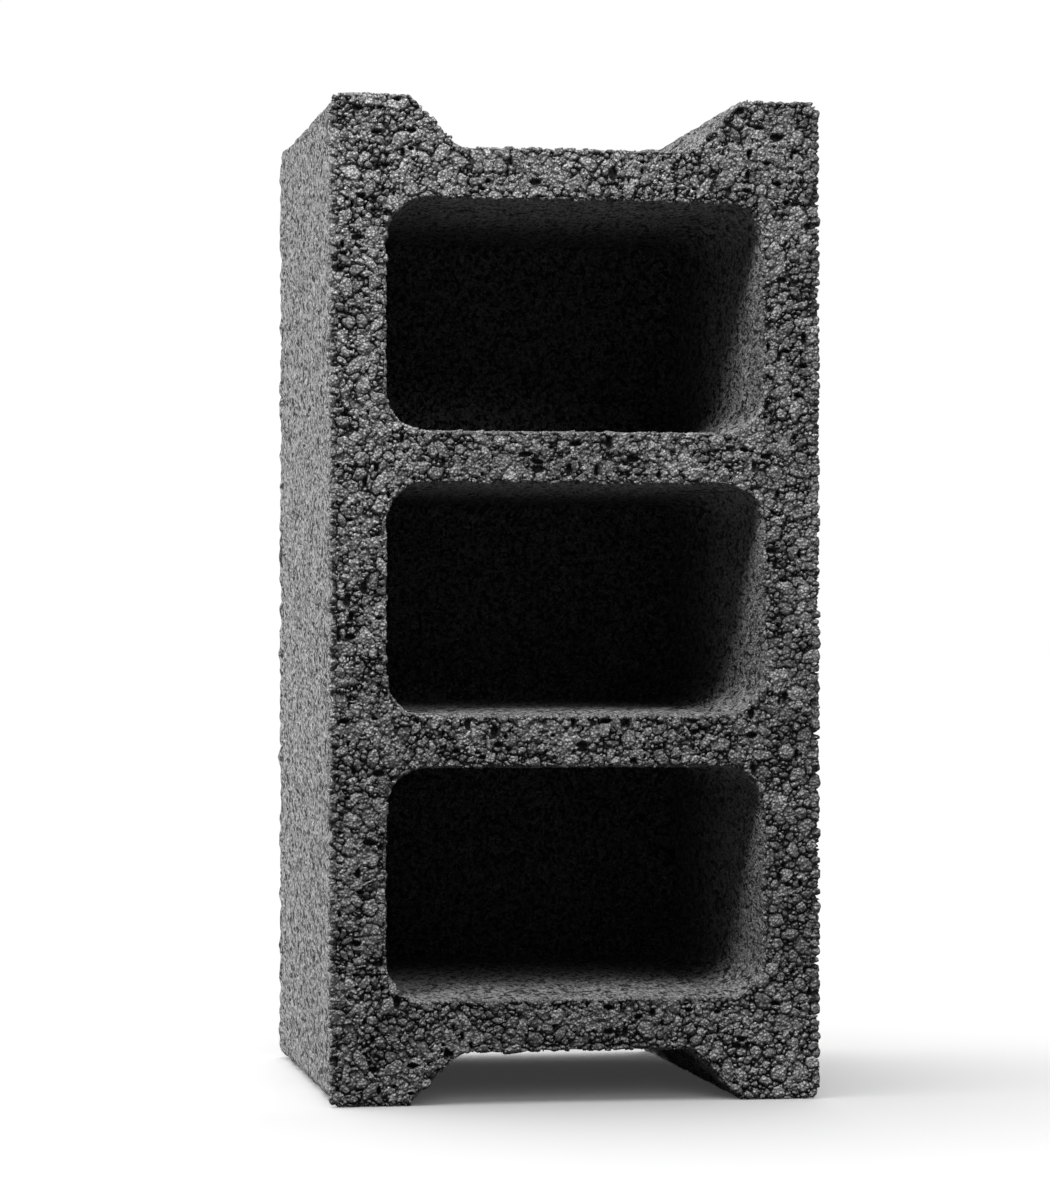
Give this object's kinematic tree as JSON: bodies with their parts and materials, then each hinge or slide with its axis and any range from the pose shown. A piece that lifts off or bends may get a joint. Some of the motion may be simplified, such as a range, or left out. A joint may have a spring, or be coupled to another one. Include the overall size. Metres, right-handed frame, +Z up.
{
  "type": "hollow concrete block",
  "caption": "Hollow concrete masonry block on its end, with rectangular blind cores open to one bed and a shallow trapezoid recess across each end.",
  "frame": {"origin": "middle of the block's footprint on the floor, between its two lower ears, as it stands on its end", "axes": "+Z up along the block's length, +X across its two side shells, -Y out of the open mouths of the cores, +Y out of the closed bed"},
  "size_m": [0.19, 0.19, 0.39],
  "materials": {
    "concrete": "matte"
  },
  "bodies": {
    "root": {"block": "concrete"}
  },
  "joints": []
}
